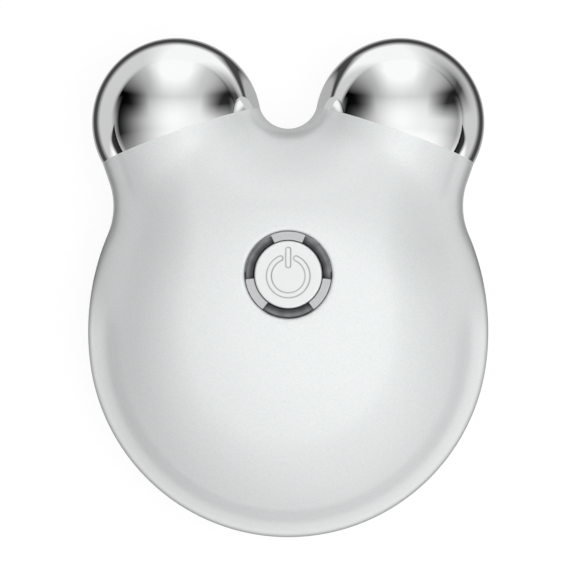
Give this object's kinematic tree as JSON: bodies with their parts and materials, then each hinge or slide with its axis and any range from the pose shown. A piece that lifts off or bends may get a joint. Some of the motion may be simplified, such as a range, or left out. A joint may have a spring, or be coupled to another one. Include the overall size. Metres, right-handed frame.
{
  "type": "facial toning device",
  "caption": "Palm-sized facial toning device: a rounded pearl-white housing that carries two chrome sphere electrodes and a power button in a lit chrome ring.",
  "frame": {"origin": "middle of the resting face at the back of the housing, under the middle of the outline", "axes": "+X to the right seen from the button side, +Y towards the two spheres, +Z out of the button face; the device lies on its back"},
  "size_m": [0.0722, 0.09, 0.0393],
  "materials": {
    "housing": "pearlescent satin",
    "chrome": "mirror polished",
    "insulator": "moulded",
    "silicone": "soft matte",
    "terminal": "tinned",
    "steel": "plated",
    "lead_left": "insulation",
    "lead_right": "insulation",
    "cap": "satin",
    "light": "frosted clear",
    "switch": "moulded",
    "plunger": "moulded",
    "board": "solder mask",
    "led": "phosphor",
    "chip": "moulded",
    "winding": "taped winding",
    "capacitor": "sleeved can",
    "connector": "moulded",
    "battery": "pouch foil",
    "foam": "foam",
    "port": "plated"
  },
  "bodies": {
    "housing": {"front_shell": "housing", "rear_shell": "housing", "left_sphere": "chrome", "right_sphere": "chrome", "left_electrode_base": "insulator", "right_electrode_base": "insulator", "left_sphere_seal": "silicone", "right_sphere_seal": "silicone", "electrode_terminals": "terminal", "electrode_screws": "steel", "left_electrode_lead": "lead_left", "right_electrode_lead": "lead_right", "button_ring": "chrome", "light_guide": "light", "return_dome": "silicone", "switch_body": "switch", "main_board": "board", "board_screws": "steel", "indicator_leds": "led", "microcontroller": "chip", "boost_transformer": "winding", "capacitors": "capacitor", "buzzer": "chip", "battery_socket": "connector", "battery_plug": "connector", "battery_leads": "lead_left", "battery": "battery", "battery_pad": "foam", "charging_port": "port", "charger_board": "board", "charger_chip": "chip", "charger_screws": "steel", "charger_leads": "lead_right"},
    "button": {"button_cap": "cap"},
    "plunger": {"switch_plunger": "plunger"}
  },
  "joints": [
    {"name": "button_press", "type": "slide", "parent": "housing", "child": "button", "axis": [0, 0, -1], "range_m": [0, 0.0005], "stiffness_N_per_m": 3000, "deforming": ["return_dome"]},
    {"name": "plunger_press", "type": "slide", "parent": "housing", "child": "plunger", "axis": [0, 0, -1], "range_m": [0, 0.0005]}
  ],
  "couplings": [
    {"joint": "plunger_press", "follows": "button_press", "ratio": 1}
  ]
}
